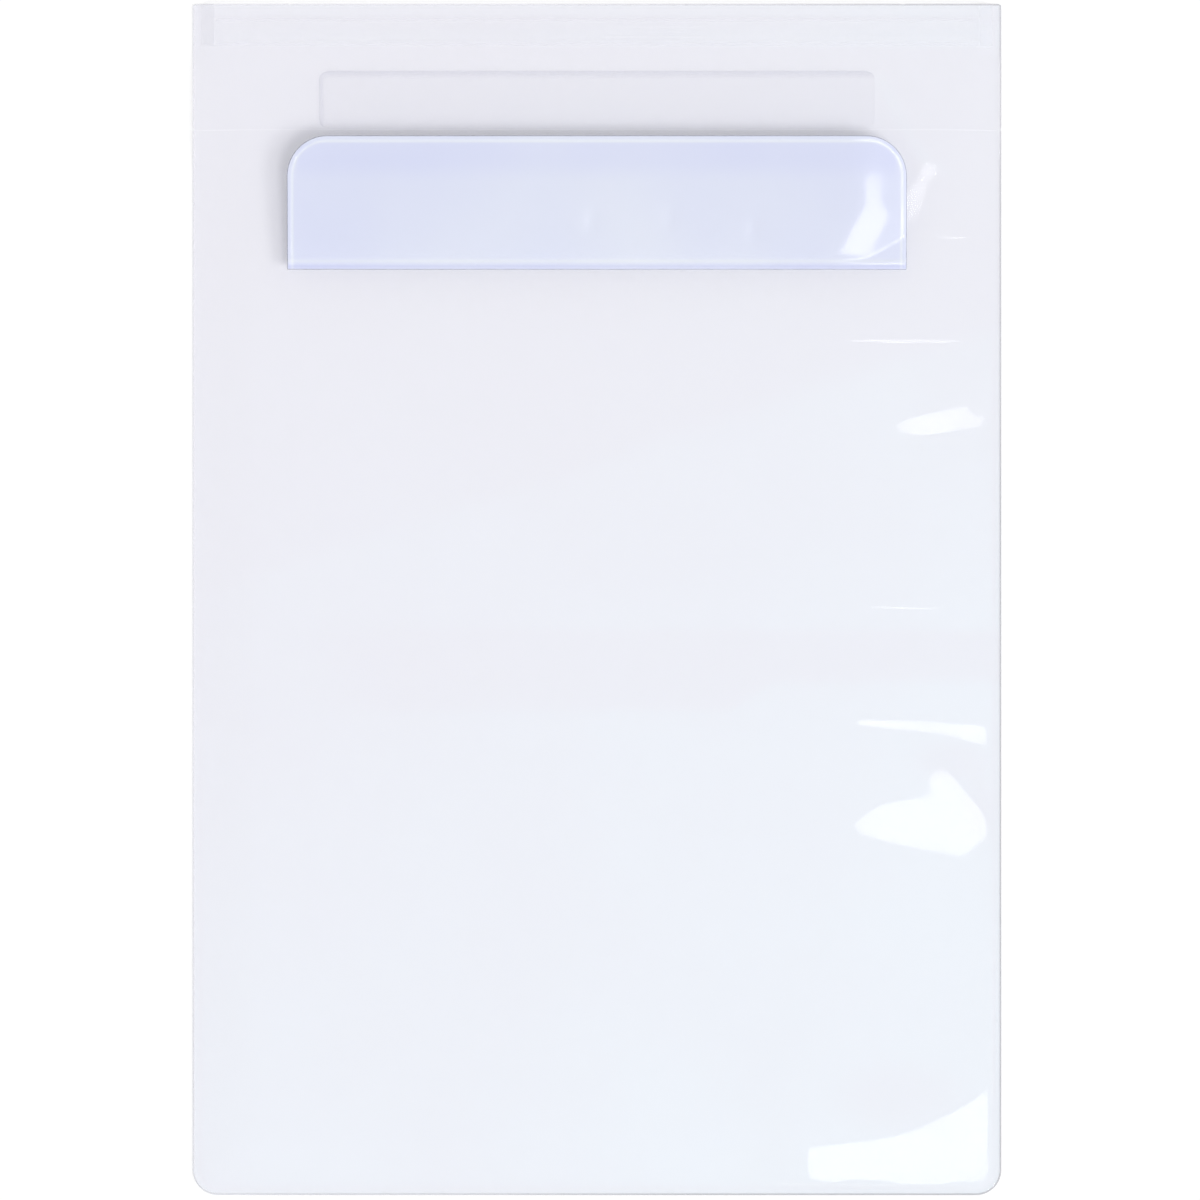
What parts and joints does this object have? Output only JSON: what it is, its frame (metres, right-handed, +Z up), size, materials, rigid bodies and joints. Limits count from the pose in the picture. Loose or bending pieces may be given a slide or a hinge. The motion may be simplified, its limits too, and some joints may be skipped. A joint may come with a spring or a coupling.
{
  "type": "clear document pocket",
  "caption": "Flat clear vinyl pocket for paper sheets: welded sides and bottom, a press-zip mouth on a head that folds forward, and a tinted flap that holds it down.",
  "frame": {"origin": "centre of the bottom of the bounding box, on the surface that the pocket's back lies on", "axes": "+Z up through the pocket from its back to its front, +Y from the welded bottom edge to the zip mouth, +X to the right as seen from the front"},
  "size_m": [0.224, 0.33, 0.0098],
  "materials": {
    "clear_film": "clear glossy vinyl film",
    "tinted_film": "pale blue translucent glossy vinyl",
    "zip_vinyl": "clear vinyl, slightly milky where it is thick",
    "hook_tape": "fine clear-white hooks",
    "loop_tape": "thin white loop pile"
  },
  "bodies": {
    "pocket": {"pocket_back_sheet": "clear_film", "pocket_front_sheet": "clear_film", "flap_weld_bar": "tinted_film"},
    "flap": {"flap_panel": "tinted_film", "flap_hook_strip": "hook_tape"},
    "head": {"head_back_sheet": "clear_film", "loop_patch": "loop_tape", "zip_groove_track": "zip_vinyl", "zip_end_seal_left": "zip_vinyl", "zip_end_seal_right": "zip_vinyl"},
    "mouth": {"mouth_front_sheet": "clear_film", "zip_rib_track": "zip_vinyl"}
  },
  "joints": [
    {"name": "flap_hinge", "type": "hinge", "parent": "pocket", "child": "flap", "pos_m": [0, 0.0936, 0.00645], "axis": [1, 0, 0], "range_deg": [0, 170]},
    {"name": "head_fold", "type": "hinge", "parent": "pocket", "child": "head", "pos_m": [0, 0.1295, 0.0081], "axis": [1, 0, 0], "range_deg": [0, 160]},
    {"name": "mouth_hinge", "type": "hinge", "parent": "head", "child": "mouth", "pos_m": [0, 0.1299, 0.0057], "axis": [1, 0, 0], "range_deg": [0, 20]}
  ]
}
